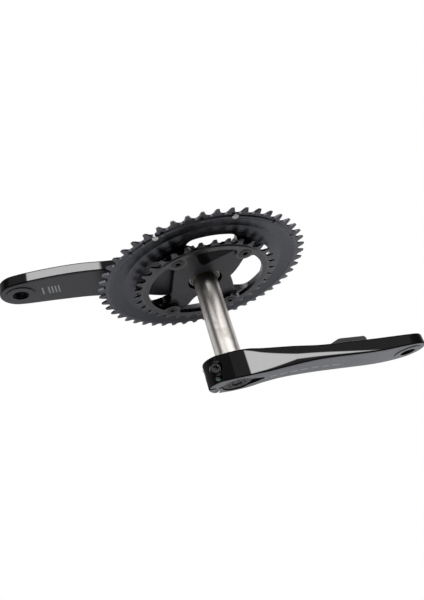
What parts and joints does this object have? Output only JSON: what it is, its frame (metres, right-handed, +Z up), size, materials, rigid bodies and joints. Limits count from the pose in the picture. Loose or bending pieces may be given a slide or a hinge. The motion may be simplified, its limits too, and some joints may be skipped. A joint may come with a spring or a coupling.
{
  "type": "bicycle crankset",
  "caption": "Road bicycle crankset: hollow spindle, forged arms, double chainring on a spider, clamp-on left arm with a bonded torque sensor pod.",
  "frame": {"origin": "on the spindle's axis at the bicycle's centre plane, half way between the pedal faces", "axes": "+Y along the spindle to the left arm, +X from the axis to the right arm's pedal end, +Z up with both arms level"},
  "size_m": [0.381, 0.147, 0.2076],
  "materials": {
    "spindle_steel": "satin",
    "arm_anodised": "satin anodised",
    "sleeve_dark": "satin",
    "ring_pale": "matte",
    "plastic_black": "matte",
    "chainring_grey": "satin anodised",
    "shell_black": "gloss anodised",
    "pin_steel": "polished",
    "small_ring_grey": "satin anodised",
    "bolt_dark": "satin",
    "washer_steel": "satin",
    "pod_plastic": "matte",
    "lens_clear": "gloss",
    "seal_rubber": "matte",
    "cell_steel": "polished",
    "board_green": "satin",
    "contact_steel": "polished",
    "gauge_film": "gloss"
  },
  "bodies": {
    "drive_side": {"spindle": "spindle_steel", "right_arm": "arm_anodised", "bearing_sleeve": "sleeve_dark", "bearing_ring": "ring_pale", "hub_plug": "plastic_black", "large_chainring": "chainring_grey", "chainring_shell": "shell_black", "lift_pins": "pin_steel", "shift_pins": "pin_steel", "chain_stop_pin": "pin_steel", "small_chainring": "small_ring_grey", "chainring_bolts": "bolt_dark"},
    "left_side": {"left_arm": "arm_anodised", "pinch_bolts": "bolt_dark", "pinch_washers": "washer_steel", "sensor_base": "pod_plastic", "strain_gauges": "gauge_film", "sensor_cover": "pod_plastic", "status_light": "lens_clear", "door_seal": "seal_rubber", "coin_cell": "cell_steel", "sensor_board": "board_green", "cell_contact": "contact_steel"},
    "stopper": {"stopper_plate": "plastic_black"},
    "cap": {"preload_cap": "plastic_black"},
    "door": {"battery_door": "pod_plastic"}
  },
  "joints": [
    {"name": "left_arm_pull", "type": "slide", "parent": "drive_side", "child": "left_side", "axis": [0, 1, 0], "range_m": [0, 0.11]},
    {"name": "stopper_swing", "type": "hinge", "parent": "left_side", "child": "stopper", "pos_m": [0.018, 0.0616, 0], "axis": [0, 0, 1], "range_deg": [-10, 20]},
    {"name": "cap_turn", "type": "hinge", "parent": "left_side", "child": "cap", "pos_m": [0, 0.0635, 0], "axis": [0, 1, 0], "range_deg": [0, 360]},
    {"name": "door_turn", "type": "hinge", "parent": "left_side", "child": "door", "pos_m": [-0.1182, 0.04972, 0], "axis": [0.1068, 0.9943, 0], "range_deg": [0, 60]}
  ]
}
